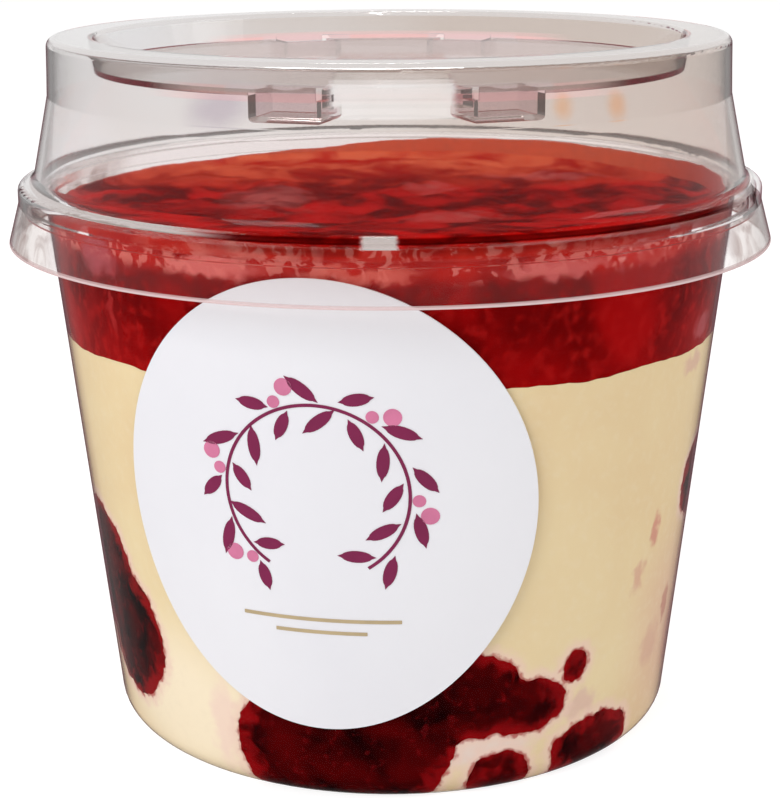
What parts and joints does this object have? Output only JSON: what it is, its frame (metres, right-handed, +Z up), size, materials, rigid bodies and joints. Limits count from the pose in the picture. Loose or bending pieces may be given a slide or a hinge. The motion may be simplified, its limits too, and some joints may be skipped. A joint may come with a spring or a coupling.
{
  "type": "layered fruit dessert cup with lid",
  "caption": "Clear round cup with a domed push-on lid, filled with pale cream and dark fruit pieces under a layer of red jelly, with a round sticker on its wall.",
  "frame": {"origin": "centre of the foot, on the surface that the cup stands on", "axes": "+Z up along the cup's axis; the sticker's side faces -Y; +X is to the right of someone who looks at that side"},
  "size_m": [0.098, 0.098, 0.0892],
  "materials": {
    "cup": "clear",
    "lid": "clear",
    "sticker": "satin",
    "jelly": "glossy",
    "cream": "soft",
    "fruit": "glossy"
  },
  "bodies": {
    "root": {"cup": "cup", "lid": "lid", "sticker": "sticker", "jelly": "jelly", "cream": "cream", "fruit_front": "fruit", "fruit_left": "fruit", "fruit_right": "fruit", "fruit_low": "fruit", "fruit_edge": "fruit", "fruit_bead": "fruit"}
  },
  "joints": []
}
